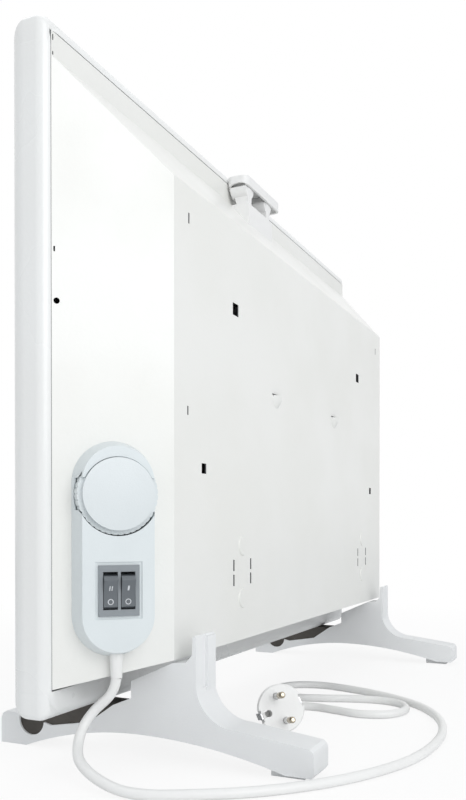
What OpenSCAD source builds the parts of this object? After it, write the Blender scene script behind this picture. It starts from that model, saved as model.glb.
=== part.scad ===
// Electric convector heater on two moulded feet, with its controls on the bevelled end of the casing.
// X runs along the heater and the controls are at +X. The front faces -Y. Z = 0 is the floor.
// The origin is under the middle of the box round the heater.

/* [Front panel] */
// Length of the panel
panel_l = 600; // [480:10:900]
// Height of the panel
panel_h = 430; // [400:5:520]
// Depth of the pressed panel, front to rear
panel_t = 32; // [28:0.5:34]
// Radius of the rolled edge towards the front
front_r = 16; // [14:0.5:18]
// Radius of the rolled edge towards the rear
rear_r = 8; // [6:0.5:9]
// Radius of the panel's corners, seen from the front
corner_r = 18; // [18:0.5:30]
// Height of the panel's bottom edge over the floor
panel_z = 34; // [34:0.5:60]
// Thickness of the panel's steel sheet
panel_sheet = 1.2; // [0.8:0.1:2]
// Height of the lip that closes the back of the panel at the bottom
bottom_lip = 18; // [14:0.5:24]
// Width of the panel's rolled edge beside the casing, at the ends
side_edge = 5.6; // [5:0.1:8]
// Width of the panel's rolled edge over the casing, at the top
top_edge = 9.2; // [8:0.2:14]

/* [Outlet louvres] */
// Length of one louvre
louvre_w = 66; // [40:1:90]
// Height of the sheet that one louvre turns out
louvre_h = 9; // [7:0.5:12]
// How far a louvre stands out
louvre_out = 4.5; // [3:0.1:6]
// Pitch of the louvres along the panel
louvre_pitch_x = 78; // [76:1:120]
// Pitch of the rows of louvres
louvre_pitch_z = 17; // [16:0.5:26]
// Rows of louvres
louvre_rows = 3; // [1:1:5]
// Louvres in one row
louvre_columns = 7; // [1:1:7]
// Distance from the top of the panel to the top row
louvre_top = 34; // [30:1:60]

/* [Rear casing] */
// Depth of the casing behind the panel
casing_d = 55; // [45:0.5:80]
// Thickness of the casing's steel sheet
casing_sheet = 1; // [0.8:0.1:1.5]
// How far the control end of the back wall is set in by the bevel
near_bevel = 54; // [40:0.5:80]
// How far the other end of the back wall is set in by the bevel
far_bevel = 28; // [10:0.5:80]
// Height of the upright strip over the sloping top
strip_h = 15; // [10:0.5:24]
// Distance of the sloping top's lower edge below the panel's top
slope_drop = 86.5; // [70:0.5:110]
// Height of the back wall's bottom edge over the panel's bottom edge
wall_z = 33; // [25:0.5:50]
// Height of the bevelled ends' bottom edge, where they meet the panel
end_z = 19; // [19:0.5:30]
// How far the casing reaches into the panel
casing_tuck = 8; // [5:0.5:15]
// Gap between the casing and the panel's rolled edge, at the top
seam_gap = 0.6; // [0.3:0.1:1.5]
// Gap between the casing and the panel's rolled edge, at the ends
end_gap = 0.1; // [0.1:0.1:0.4]

/* [Wall bracket holes] */
// Distance of an upper hook hole from the middle of the back wall
upper_hole_x = 159; // [120:1:170]
// Height of the upper hook holes
upper_hole_z = 279.5; // [240:0.5:300]
// Side of an upper hook hole
upper_hole = 10; // [6:0.5:14]
// Distance of a lower hook hole from the end of the back wall
lower_hole_end = 42.3; // [38:0.1:70]
// Height of the lower hook holes
lower_hole_z = 158.5; // [120:0.5:200]
// Width of a lower hook hole
lower_hole_w = 7; // [5:0.5:12]
// Distance of a lanced pocket from the middle of the back wall
pocket_x = 77.5; // [50:0.5:110]
// Height of the lanced pockets' slits
pocket_z = 228; // [190:0.5:235]
// Width of a lanced pocket
pocket_w = 20; // [14:0.5:28]
// How far a lanced pocket stands out
pocket_out = 4; // [2.5:0.1:6]
// Height of a lanced pocket's slit
pocket_slit = 2.6; // [2:0.1:4]

/* [Embossed pads] */
// Place of the pads at the control end, along the heater
near_pad_x = 133.5; // [110:0.5:160]
// Place of the pads at the other end, along the heater
far_pad_x = -190.5; // [-210:0.5:-160]
// Height of the lower pads
low_pad_z = 64.5; // [55:0.5:75]
// Height of the upper pads
high_pad_z = 104; // [98:0.5:115]
// Diameter of a pad
pad_d = 15.5; // [10:0.5:18]
// How far a pad stands out
pad_out = 1; // [0.6:0.1:1.6]

/* [Carry handle] */
// Place of the grip's middle, along the heater
handle_x = 8; // [-40:1:40]
// Length of the grip
handle_l = 78; // [70:1:110]
// Depth of the grip, front to rear
grip_d = 20; // [18:0.5:24]
// Height of the grip's rim
grip_h = 8; // [7:0.5:10]
// Distance of the grip's top below the panel's top
grip_drop = 5.7; // [2:0.1:7]
// Wall of the hollow grip
grip_wall = 2.2; // [1.6:0.1:2.6]
// Distance between the middles of the handle's legs
leg_pitch = 41; // [36:0.5:50]
// Place of the legs' middle along the grip, from its own middle
leg_shift = 7.5; // [-8:0.5:8]
// Thickness of one leg of the handle
handle_leg = 8; // [6:0.5:10]
// Distance of the handle's base below the panel's top
base_drop = 28.5; // [25:0.5:32]
// Depth of the handle's base, behind the casing's seam
base_d = 20; // [16:0.5:24]

/* [Feet] */
// Distance from the end of the panel to the middle of a foot
foot_inset = 71.5; // [65:0.5:100]
// Width of a foot
foot_w = 27; // [22:0.5:34]
// Reach of a foot in front of the casing's seam
foot_front = 84; // [70:1:120]
// Reach of a foot behind the casing's seam
foot_rear = 150; // [130:1:190]
// Height of the arch under a foot
arch_h = 17; // [10:0.5:18]
// Height of the sides' lower edge over the floor at the rear toe
heel_lift = 3; // [0.5:0.5:6]
// Wall of the hollow foot
foot_wall = 3; // [2.4:0.1:4]
// Height of a foot's rear tongue over the back wall's bottom edge
post_h = 16.5; // [12:0.5:24]
// Radius of the bow between the tongue and the rear toe
bow_r = 27; // [20:0.5:30]

/* [Control unit] */
// Length of the control housing, up the bevelled end
housing_l = 134; // [125:1:150]
// Width of the control housing
housing_w = 52.5; // [52:0.5:56]
// How far the control housing stands out
housing_h = 16; // [15:0.5:20]
// How far each side of the housing leans in, foot to face
housing_draft = 4; // [3:0.1:4.2]
// Wall of the control housing
housing_wall = 2; // [1.6:0.1:2.4]
// Height of the housing's middle over the panel's bottom edge
housing_z = 105; // [100:0.5:120]
// Place of the housing's middle, along the bevel from the panel
housing_u = 38; // [37:0.1:40]

/* [Thermostat knob] */
// Distance from the housing's upper end to the knob's centre
knob_end = 33.3; // [32:0.1:35]
// Diameter of the knob's face
knob_face_d = 44.4; // [40:0.2:45]
// Diameter of the knob's finger rim
knob_rim_d = 50; // [48:0.2:50.4]
// Height of the knob's face over the bevelled end
knob_top = 18.6; // [17.6:0.1:20]
// Diameter of the thermostat's spindle
spindle_d = 6; // [5:0.1:8]
// Height of the finger notches beside the knob
notch_h = 19.6; // [16:0.2:22]

/* [Twin switch] */
// Distance from the housing's lower end to the switch's centre
switch_end = 42; // [41:0.1:43]
// Width of the switch's bezel
bezel_w = 25; // [24.6:0.1:26]
// Height of the switch's bezel
bezel_l = 31; // [30.6:0.1:32]
// Width of one rocker
rocker_w = 8.4; // [8:0.1:8.6]
// Width of the bar between the rockers
rocker_bar = 1.8; // [1.4:0.1:2]
// Height of the rockers' opening
rocker_l = 23; // [22:0.1:24]
// Tilt of a rocker to each side of its middle
rocker_tilt = 10; // [6:0.5:11]

/* [Inner sheet pieces] */
// Thickness of a corner clip
clip_t = 1.5; // [1:0.1:2]
// Height of a corner clip
clip_h = 22; // [16:1:30]
// Distance of the clips from the panel's top and bottom
clip_z = 62; // [55:1:80]
// Width of a flange of a clip or of the inner sheet
flange_w = 12; // [8:0.5:16]
// Thickness of the inner sheet
shield_t = 0.8; // [0.6:0.1:1]
// Height of the inner sheet's bottom edge
shield_z = 40; // [30:1:50]
// Thickness of a bracket of the heating element
bracket_t = 1.2; // [0.8:0.1:1.5]
// Thickness of the plate behind the control housing
plate_t = 1.5; // [1:0.1:1.6]

/* [Heating element] */
// Height of the element's tube over the panel's bottom edge
element_z = 84; // [76:0.5:90]
// Distance of the element's tube behind the casing's seam
element_y = 22; // [20:0.5:26]
// Diameter of the element's tube
tube_d = 9; // [6.5:0.1:12]
// Side of one square fin
fin_side = 46; // [36:0.5:50]
// Thickness of one fin
fin_t = 0.8; // [0.5:0.1:1.2]
// Pitch of the fins
fin_pitch = 12; // [10:0.5:20]

/* [Mains lead] */
// Diameter of the lead
cord_d = 6.4; // [6.4:0.1:6.8]
// Length of the tapered sleeve under the housing
sleeve_l = 14; // [13:0.5:15]

/* [Hidden] */
$fn = 48;

eps = 0.01;
seam_y = (foot_front - foot_rear) / 2;
open_x = panel_l / 2 - side_edge;
open_top = panel_h - top_edge;
casing_x = open_x - end_gap;
casing_top = open_top - seam_gap;
strip_z = casing_top - strip_h;
near_angle = atan(near_bevel / casing_d);
far_angle = atan(far_bevel / casing_d);
wall_mid_x = (far_bevel - near_bevel) / 2;
wall_half = casing_x - (near_bevel + far_bevel) / 2;
lower_hole_x = wall_half - lower_hole_end;
slope_z = panel_h - slope_drop;
slope_angle = atan((strip_z - slope_z) / casing_d);
wall_in = casing_d - casing_sheet;
grip_top = panel_h - grip_drop;
base_top = panel_h - base_drop;
foot_x = panel_l / 2 - foot_inset;

opening_w = 2 * (rocker_w + 0.6) + rocker_bar;
rocker_x = (rocker_w + 0.6 + rocker_bar) / 2;
rocker_pivot = housing_h - 6;
housing_s = (housing_l - housing_w) / 2;
knob_v = housing_l / 2 - knob_end;
switch_v = housing_l / 2 - switch_end;
plate_screw_v = housing_l / 2 - 11;
rim_top = knob_top - 5.1;

white_steel = "#f4f5f4";
warm_steel = "#eeeeea";
bright_steel = "#b9bcbf";
aluminium = "#c9cccf";
ceramic = "#e9e4d6";
foot_white = "#e3e7e8";
control_white = "#e6edf0";
switch_grey = "#8c8f94";
rocker_grey = "#6e7276";
brass = "#b89a62";
rubber_black = "#1c1c1d";

// Measures Y from the casing's seam and Z from the panel's bottom edge
module at_seam() {
    translate([0, seam_y, panel_z]) children();
}

// Stands on the bevelled end: X along it to the rear, Y up, Z outwards
module on_bevel(v = 0) {
    at_seam()
        translate([casing_x, 0, housing_z + v])
            rotate([0, 0, near_angle])
                translate([0, housing_u, 0])
                    rotate([90, 0, 90]) children();
}

// Lies on the sloping top: Y down the slope, Z outwards
module on_slope() {
    at_seam() translate([0, 0, strip_z]) rotate([-slope_angle, 0, 0]) children();
}

// Plate with rounded corners, in the XY plane
module round_plate(l, w, t, r) {
    translate([-l / 2 + r, -w / 2, 0]) cube([l - 2 * r, w, t]);
    translate([-l / 2, -w / 2 + r, 0]) cube([l, w - 2 * r, t]);
    for (x = [-1, 1], y = [-1, 1])
        translate([x * (l / 2 - r), y * (w / 2 - r), 0]) cylinder(h = t, r = r);
}

// Bar with round ends, upright along Y
module stadium(l, w, t) {
    s = (l - w) / 2;
    translate([-w / 2, -s, 0]) cube([w, 2 * s, t]);
    for (y = [-s, s]) translate([0, y, 0]) cylinder(h = t, d = w);
}

// Edge of the panel in section, from x = 0 to its rolled rim at x = corner_r, drawn in by t
module edge_section(t) {
    a = front_r - t;
    b = rear_r - t;
    x = corner_r - t;
    front = -panel_t + t;
    translate([0, front + a]) square([x, -t - b - front - a]);
    translate([0, front]) square([x - a, a]);
    translate([0, -t - b]) square([x - b, b]);
    intersection() {
        union() {
            translate([x - a, front + a]) circle(r = a);
            translate([x - b, -t - b]) circle(r = b);
        }
        translate([0, front]) square([x, -t - front]);
    }
}

// Body of the panel, drawn in by t: its rolled edge runs round the corners
module panel_form(t) {
    x = panel_l / 2 - corner_r;
    z = panel_h / 2 - corner_r;
    translate([0, 0, panel_h / 2]) {
        translate([-x, -panel_t + t, -z]) cube([2 * x, panel_t - 2 * t, 2 * z]);
        for (s = [0, 1]) {
            mirror([s, 0, 0]) translate([x, 0, -z]) linear_extrude(height = 2 * z) edge_section(t);
            mirror([0, 0, s]) translate([-x, 0, z])
                rotate([0, 90, 0]) linear_extrude(height = 2 * x) mirror([1, 0]) edge_section(t);
            for (m = [0, 1])
                mirror([s, 0, 0]) mirror([0, 0, m]) translate([x, 0, z])
                    rotate([90, 0, 0]) mirror([0, 0, 1]) rotate_extrude(angle = 90) edge_section(t);
        }
    }
}

function louvre_x(i) = (i - (louvre_columns - 1) / 2) * louvre_pitch_x;
function louvre_z(j) = panel_h - louvre_top - j * louvre_pitch_z;

// Sheet turned out of the front face, open at the top, drawn in by t
module louvre_form(t) {
    r = (louvre_h * louvre_h + louvre_out * louvre_out) / (2 * louvre_out);
    intersection() {
        translate([0, -panel_t + r - louvre_out, 0])
            rotate([0, 90, 0]) cylinder(h = louvre_w - 2 * t, r = r - t, center = true);
        translate([-louvre_w, -panel_t - louvre_out, -louvre_h + t / 2])
            cube([2 * louvre_w, louvre_out + panel_sheet / 2, louvre_h]);
    }
}

module front_panel() {
    slot_h = louvre_h - panel_sheet;
    color(white_steel) at_seam() {
        difference() {
            panel_form(0);
            panel_form(panel_sheet);
            translate([-open_x, -2 * panel_sheet - rear_r, bottom_lip])
                cube([2 * open_x, panel_t, open_top - bottom_lip]);
            for (i = [0:louvre_columns - 1], j = [0:louvre_rows - 1])
                translate([louvre_x(i) - louvre_w / 2 + panel_sheet, -panel_t - 1,
                           louvre_z(j) - slot_h])
                    cube([louvre_w - 2 * panel_sheet, panel_sheet + 2, slot_h]);
            for (s = [-1, 1], x = foot_screw_x)
                translate([s * (foot_x + x), foot_screw_y, 0])
                    cylinder(h = 6 * panel_sheet, r = 2.1, center = true);
        }
        for (i = [0:louvre_columns - 1], j = [0:louvre_rows - 1])
            translate([louvre_x(i), 0, louvre_z(j)])
                difference() {
                    louvre_form(0);
                    louvre_form(panel_sheet);
                    translate([-louvre_w / 2 + panel_sheet, -panel_t - eps, -slot_h])
                        cube([louvre_w - 2 * panel_sheet, panel_sheet, slot_h + 1]);
                }
    }
}

// Distance of the bevel's inner face from the middle, at depth y
function bevel_x(t, a, y) = casing_x - t / cos(a) - y * tan(a);

// Solid body of the casing, drawn in by t, with its underside lowered
module casing_form(t, lowered) {
    x = casing_x - t;
    front = -casing_tuck - 2 * t;
    d = casing_d - t;
    drop = t / cos(slope_angle);
    intersection() {
        linear_extrude(height = casing_top + 2)
            polygon([[-x, front], [x, front], [x, -t * tan(near_angle / 2)],
                     [bevel_x(t, near_angle, d), d], [-bevel_x(t, far_angle, d), d],
                     [-x, -t * tan(far_angle / 2)]]);
        rotate([90, 0, 90])
            linear_extrude(height = 2 * panel_l, center = true)
                polygon([[front, end_z - lowered], [0, end_z - lowered],
                         [casing_d, wall_z - lowered], [casing_d, slope_z - drop],
                         [-t, strip_z - drop + t * tan(slope_angle)],
                         [-t, casing_top - t], [front, casing_top - t]]);
    }
}

// Distance of the small slots from the seam at the control end
edge_slot_u = 1.6;

// Lanced pocket: a shallow cap below a slit, drawn in by t
module pocket(t) {
    r = (pocket_w * pocket_w / 4 + pocket_out * pocket_out) / (2 * pocket_out);
    intersection() {
        translate([0, casing_d + pocket_out - r, -pocket_slit / 2]) sphere(r = r - t, $fn = 64);
        translate([-pocket_w, casing_d - casing_sheet - t, -pocket_w])
            cube([2 * pocket_w, pocket_out + 2 * casing_sheet, pocket_w - pocket_slit / 2]);
    }
}

module rear_casing() {
    sheet = casing_sheet;
    pad_mid_z = (low_pad_z + high_pad_z) / 2;
    color(warm_steel) difference() {
        at_seam() difference() {
            union() {
                casing_form(0, 0);
                for (x = [near_pad_x, far_pad_x], z = [low_pad_z, high_pad_z])
                    translate([x, casing_d - sheet / 2, z])
                        rotate([-90, 0, 0])
                            cylinder(h = pad_out + sheet / 2, d1 = pad_d, d2 = pad_d - 1.6);
                for (s = [-1, 1]) translate([wall_mid_x + s * pocket_x, 0, pocket_z]) pocket(0);
            }
            casing_form(sheet, 5);
            for (s = [-1, 1]) {
                translate([wall_mid_x + s * pocket_x, 0, pocket_z]) {
                    pocket(sheet);
                    translate([-pocket_w / 2 + 1, casing_d - 2 * sheet, -pocket_slit])
                        cube([pocket_w - 2, 3 * sheet, pocket_slit]);
                }
                translate([wall_mid_x + s * upper_hole_x, casing_d, upper_hole_z])
                    cube([upper_hole, 4 * sheet, upper_hole - 1], center = true);
                translate([wall_mid_x + s * lower_hole_x, casing_d, lower_hole_z])
                    cube([lower_hole_w, 4 * sheet, lower_hole_w], center = true);
                translate([wall_mid_x + s * (lower_hole_x + 22), casing_d, slope_z - 21])
                    cube([1.6, 4 * sheet, 7], center = true);
            }
            for (x = [near_pad_x, far_pad_x], s = [-1, 1], z = [-1, 1])
                translate([x + s * pad_d, casing_d, pad_mid_z + z * 5.5])
                    cube([2.2, 4 * sheet, 8.4], center = true);
            translate([wall_mid_x + wall_half - 18.8, casing_d, lower_hole_z + 37])
                cube([1.6, 4 * sheet, 6], center = true);
            for (q = [[casing_top - 3.6, 3.6], [strip_z + 1.8, 2.2]])
                translate([casing_x - edge_slot_u, 0, q[0]]) cube([1, 4 * sheet, q[1]], center = true);
        }
        on_bevel() {
            translate([-17, 4 - plate_screw_v, -4 * sheet])
                cube([34, 2 * plate_screw_v - 8, 8 * sheet]);
            for (s = [-1, 1])
                translate([0, s * plate_screw_v, -4 * sheet]) cylinder(h = 8 * sheet, r = 1.7);
            translate([edge_slot_u - housing_u, slope_z - 55.5 - housing_z, 0])
                cube([1, 3.2, 4 * sheet], center = true);
            translate([edge_slot_u + 1.4 - housing_u, slope_z - 87 - housing_z, -2 * sheet])
                cylinder(h = 4 * sheet, r = 1.9);
        }
        on_slope()
            for (s = [-1, 1])
                translate([leg_x + s * leg_pitch / 4, base_screw, -4 * sheet])
                    cylinder(h = 8 * sheet, r = 1.7);
    }
}

// Joins the casing's ends to the back of the panel's face
module corner_clips() {
    t = clip_t;
    x = casing_x - casing_sheet;
    u = x - flange_w;
    y = -panel_t / 2 + 0.5;
    d = -panel_t + panel_sheet;
    color(bright_steel) at_seam()
        for (s = [0, 1], z = [clip_z, panel_h - clip_z - clip_h]) mirror([s, 0, 0])
            translate([0, 0, z]) linear_extrude(height = clip_h)
                polygon([[x, -1], [x, y], [u, y], [u, d], [u - t, d],
                         [u - t, y + t], [x - t, y + t], [x - t, -1]]);
}

module heat_shield() {
    t = shield_t;
    x = panel_l / 2 - foot_inset / 2 - 2.25;
    u = x + flange_w;
    face = -panel_t * 0.4375;
    foot = -panel_t + panel_sheet;
    color(bright_steel) at_seam() translate([0, 0, shield_z])
        linear_extrude(height = slope_z - 1.5 * shield_z)
            polygon([[-u, foot], [t - x, foot], [t - x, face - t],
                     [x - t, face - t], [x - t, foot], [u, foot],
                     [u, foot + t], [x, foot + t], [x, face],
                     [-x, face], [-x, foot + t], [-u, foot + t]]);
}

function tube_z(i) = element_z + (i == 0 ? -1 : 1) * fin_side / 4.6;

module element_tube(i) {
    x0 = far_pad_x - 22;
    x1 = near_pad_x + 22;
    color(bright_steel) at_seam() translate([x0, element_y, tube_z(i)]) rotate([0, 90, 0]) {
        cylinder(h = x1 - x0, d = tube_d);
        translate([0, 0, -12]) cylinder(h = x1 - x0 + 24, d = 3, $fn = 24);
    }
}

module element_fins() {
    x0 = far_pad_x + 16;
    n = floor((near_pad_x - far_pad_x - 36) / fin_pitch);
    color(aluminium) at_seam()
        for (k = [0:n])
            translate([x0 + k * fin_pitch, element_y, element_z]) difference() {
                cube([fin_t, fin_side, fin_side], center = true);
                for (i = [0, 1])
                    translate([0, 0, tube_z(i) - element_z])
                        rotate([0, 90, 0])
                            cylinder(h = 4, d = tube_d + 0.1, center = true, $fn = 16);
            }
}

module element_bushes() {
    color(ceramic) at_seam()
        for (x = [near_pad_x, far_pad_x], i = [0, 1])
            translate([x, element_y, tube_z(i)]) rotate([0, 90, 0]) difference() {
                union() {
                    cylinder(h = 8, d = tube_d + 5, center = true);
                    cylinder(h = 2, d = tube_d + 8, center = true);
                }
                cylinder(h = 20, d = tube_d + 0.1, center = true);
            }
}

// Sheet bracket between the back wall's pads and the bushes
module element_bracket(x) {
    z0 = low_pad_z - 10;
    h = high_pad_z - low_pad_z + 20;
    color(bright_steel) at_seam() difference() {
        union() {
            translate([x + 1.1, element_y - 20, z0]) cube([bracket_t, wall_in - element_y + 20, h]);
            translate([x + 1.1 - 14, wall_in - bracket_t, z0]) cube([15, bracket_t, h]);
        }
        for (i = [0, 1])
            translate([x, element_y, tube_z(i)])
                rotate([0, 90, 0]) cylinder(h = 10, d = tube_d + 5.1);
    }
}

module thermal_cutout() {
    x = (near_pad_x + far_pad_x) / 2 + 90;
    z = element_z + fin_side / 2 + 30;
    color(ceramic) at_seam() translate([x, wall_in, z]) rotate([90, 0, 0]) {
        round_plate(38, 14, 1.5, 3);
        translate([0, 0, 1]) cylinder(h = 9, d = 17);
        for (s = [-1, 1]) translate([s * 4 - 0.4, -3, 9]) cube([0.8, 6, 9]);
    }
}

module terminal_block() {
    color(control_white) at_seam() translate([near_pad_x + 40, wall_in, element_z + 60])
        rotate([90, 0, 0]) difference() {
            translate([-20, -9, 0]) cube([40, 18, 15]);
            for (k = [-1:1]) {
                translate([k * 12, 0, 7.5]) rotate([90, 0, 0])
                    cylinder(h = 20, d = 5, center = true, $fn = 24);
                for (s = [-1, 1])
                    translate([k * 12, s * 4.5, 9]) cylinder(h = 10, d = 3.6, $fn = 24);
            }
        }
}

// Depth of the handle's front behind the seam
grip_y0 = 0.5;
leg_x = handle_x + leg_shift;

// Height of the slope at depth y
function slope_at(y) = strip_z - y * tan(slope_angle);

// Place of a screw in the handle's base, down the slope
base_screw = (base_d + 6) / 2 / cos(slope_angle);

// Base block on the slope with the handle's two legs, whose heads flare under the grip
module handle_base() {
    base_l = leg_pitch + handle_leg + 4;
    head = grip_top - grip_h - 0.6;
    color(foot_white) difference() {
        at_seam() translate([leg_x, 0, 0]) rotate([90, 0, 90]) {
            linear_extrude(height = base_l, center = true)
                polygon([[3.5, slope_at(3.5)], [6.5, base_top], [base_d - 0.7, base_top],
                         [base_d, base_top - 0.7], [base_d + 0.5, slope_at(base_d + 0.5)]]);
            for (s = [-1, 1]) translate([0, 0, s * leg_pitch / 2]) {
                linear_extrude(height = handle_leg, center = true)
                    polygon([[7.9, base_top - 1], [3.2, head], [4, head],
                             [4, grip_top - grip_wall - 0.3], [grip_d - 5, grip_top - grip_wall - 0.3],
                             [grip_d - 5, head], [grip_d - 1.5, head], [grip_d - 2, base_top - 1]]);
                intersection() {
                    translate([3, head - 8, -15]) cube([grip_d - 5, 8, 30]);
                    translate([0, head, 0]) rotate([0, 90, 0]) cylinder(h = 60, r = 8.5, center = true);
                }
            }
        }
        on_slope() for (s = [-1, 1])
            translate([leg_x + s * leg_pitch / 4, base_screw, -1]) cylinder(h = 9, r = 1.6);
    }
}

module handle_grip() {
    y = grip_y0 + grip_d / 2;
    rim = grip_top - grip_h;
    color(foot_white) at_seam() translate([handle_x, 0, 0]) difference() {
        union() {
            translate([0, y, rim]) round_plate(handle_l, grip_d, grip_h, 6);
            translate([0, grip_y0 + grip_wall / 2, rim - 2])
                translate([-handle_l / 2 + 6, -grip_wall / 2, 0])
                    cube([handle_l - 12, grip_wall, 4]);
        }
        translate([0, y, rim - 1])
            round_plate(handle_l - 2 * grip_wall, grip_d - 2 * grip_wall,
                        grip_h + 1 - grip_wall, 6 - grip_wall);
        translate([handle_l / 2, y + 1, rim - 16])
            rotate([0, 90, 0]) cylinder(h = 3 * grip_wall, r = 18, center = true, $fn = 96);
    }
}

// Pan head screw standing on Z = 0 with its shank below
module pan_screw(r, head_r, head_h, shank) {
    difference() {
        cylinder(h = head_h, r1 = head_r, r2 = head_r - 0.8);
        for (a = [0, 90]) rotate([0, 0, a])
            translate([0, 0, head_h]) cube([head_r * 1.1, 0.9, head_h], center = true);
    }
    translate([0, 0, -shank]) cylinder(h = shank + eps, r = r);
}

// Driven into the handle's base from inside the casing
module handle_screws() {
    color(bright_steel) on_slope()
        for (s = [-1, 1])
            translate([leg_x + s * leg_pitch / 4, base_screw, -casing_sheet])
                mirror([0, 0, 1]) pan_screw(1.6, 3.4, 2, 8);
}

// Dish behind the front toe, in which the panel's seat lies
dish_y = foot_front - 26.5;
dish_r = 10.5;

// Side view of a foot, with Y from the casing's seam and Z from the floor
module foot_outline() {
    tongue_y = casing_d + 16.5;
    tongue_z = panel_z + wall_z + post_h;
    toe_z = 20.5;
    bow_y = tongue_y + bow_r;
    bow_z = toe_z + 6 + bow_r;
    crown = 30;
    difference() {
        polygon([[-foot_front, 0], [-foot_front, 17], [-foot_front + 1.5, 20.5],
                 [-foot_front + 5, 22.5], [-foot_front + 14, 22], [-40.6, 15.8], [-30, 17.7],
                 [-10, 21], [9.5, panel_z + 0.5], [23.6, panel_z + 6.3],
                 [23.6, panel_z + end_z - 1.5], [casing_d - 0.3, panel_z + wall_z - 1.5],
                 [casing_d + 9.4, panel_z + wall_z - 0.7], [tongue_y - 2.8, panel_z + wall_z + 4.5],
                 [tongue_y - 2.5, tongue_z - 1], [tongue_y - 1.5, tongue_z],
                 [tongue_y - 0.8, tongue_z], [tongue_y, tongue_z - 0.8], [tongue_y, bow_z],
                 [bow_y, bow_z], [bow_y, bow_z - bow_r], [foot_rear - 3, toe_z],
                 [foot_rear - 0.8, toe_z - 1.8], [foot_rear, toe_z - 4.5],
                 [foot_rear, heel_lift + 2], [foot_rear - 1.5, heel_lift], [crown, heel_lift],
                 [crown, 0]]);
        translate([bow_y, bow_z]) circle(r = bow_r, $fn = 96);
        translate([-dish_y, 7.5 + dish_r]) circle(r = dish_r);
        for (s = [-1, 1]) {
            c = s < 0 ? foot_front + crown - 22 : foot_rear - crown - 8;
            r = (c * c + arch_h * arch_h) / (2 * arch_h);
            intersection() {
                translate([crown, arch_h - r]) circle(r = r, $fn = 240);
                translate([s < 0 ? crown - c : crown, -eps]) square([c, arch_h + 2 * eps]);
            }
        }
    }
}

// Places of the screws that hold a foot to the panel's bottom
foot_screw_x = [-6.5, 6.5];
foot_screw_y = -(panel_t - front_r + rear_r) / 2;

module foot() {
    w = foot_w;
    tongue_y = casing_d + 16.5;
    tongue_z = panel_z + wall_z + post_h;
    color(foot_white) translate([0, seam_y, 0]) difference() {
        union() {
            rotate([90, 0, 90]) linear_extrude(height = w, center = true) foot_outline();
            translate([-w / 4, foot_rear - 30, 0]) cube([w / 2, 22, heel_lift + 4]);
            translate([-w / 2 + 0.8, tongue_y - 2, tongue_z - 36])
                cube([13, 3.2, 36 - 1.5]);
        }
        translate([-w / 2 + foot_wall, 0, 0])
            rotate([90, 0, 90]) linear_extrude(height = w - 2 * foot_wall) {
                polygon([[-foot_front + 3, -1], [-foot_front + 3, 13], [-foot_front + 9, 16],
                         [-foot_front + 13, 14], [-foot_front + 16, 6], [-foot_front + 16, -1]]);
                polygon([[2, 0], [5, 24], [12, 31], [26.6, 37], [26.6, 46], [casing_d - 4, 58],
                         [62, 60], [66, 56], [66.5, 48], [69.5, 40], [73, 33], [73, 0]]);
                polygon([[78, -1], [78, 27], [88, 22], [102, 21], [foot_rear - 34, 18],
                         [foot_rear - 34, -1]]);
            }
        translate([w / 2 - 14.5, tongue_y - 0.9, tongue_z - 34]) cube([5, 10, 60]);
        for (x = foot_screw_x) translate([x, foot_screw_y, -1]) {
            cylinder(h = 18, r = 4.2);
            cylinder(h = 60, r = 2.1);
        }
    }
}

module near_foot() {
    translate([foot_x, 0, 0]) foot();
}

module far_foot() {
    mirror([1, 0, 0]) translate([foot_x, 0, 0]) foot();
}

// Black rubber seats that lie in the dish of each foot, under the panel's bottom edge
module foot_seats() {
    w = foot_w - 3;
    color(rubber_black) translate([0, seam_y, 0])
        for (s = [0, 1]) mirror([s, 0, 0]) translate([foot_x, 0, 0]) difference() {
            rotate([90, 0, 90]) linear_extrude(height = w, center = true) difference() {
                polygon([[-dish_y - 11, 12], [-dish_y - 11, 19], [-dish_y - 2, 21],
                         [-panel_t, panel_z - 4], [-panel_t + 4, panel_z - 1],
                         [-front_r, panel_z], [-rear_r, panel_z], [0.4, panel_z - 0.3],
                         [9, panel_z - 0.3], [8, 26], [-10, 17], [-30, 14], [-40, 12.5], [-48, 8.5], [-dish_y, 5]]);
                foot_outline();
            }
            for (x = foot_screw_x) translate([x, foot_screw_y, 0]) cylinder(h = 60, r = 2.1);
        }
}

module foot_screws() {
    color(bright_steel) translate([0, seam_y, 0])
        for (s = [0, 1], x = foot_screw_x)
            mirror([s, 0, 0]) translate([foot_x + x, foot_screw_y, 17])
                mirror([0, 0, 1]) pan_screw(2, 3.6, 2, panel_z - 14);
}

// Housing with leaning sides, drawn in by t and closed at height h
module housing_form(t, h) {
    b = housing_w / 2 - t;
    f = b - housing_draft * h / housing_h;
    s = housing_s;
    rotate([90, 0, 0]) linear_extrude(height = 2 * s, center = true)
        polygon([[-b, 0], [b, 0], [f, h], [-f, h]]);
    for (y = [-s, s]) translate([0, y, 0]) cylinder(h = h, r1 = b, r2 = f, $fn = 72);
}

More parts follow.
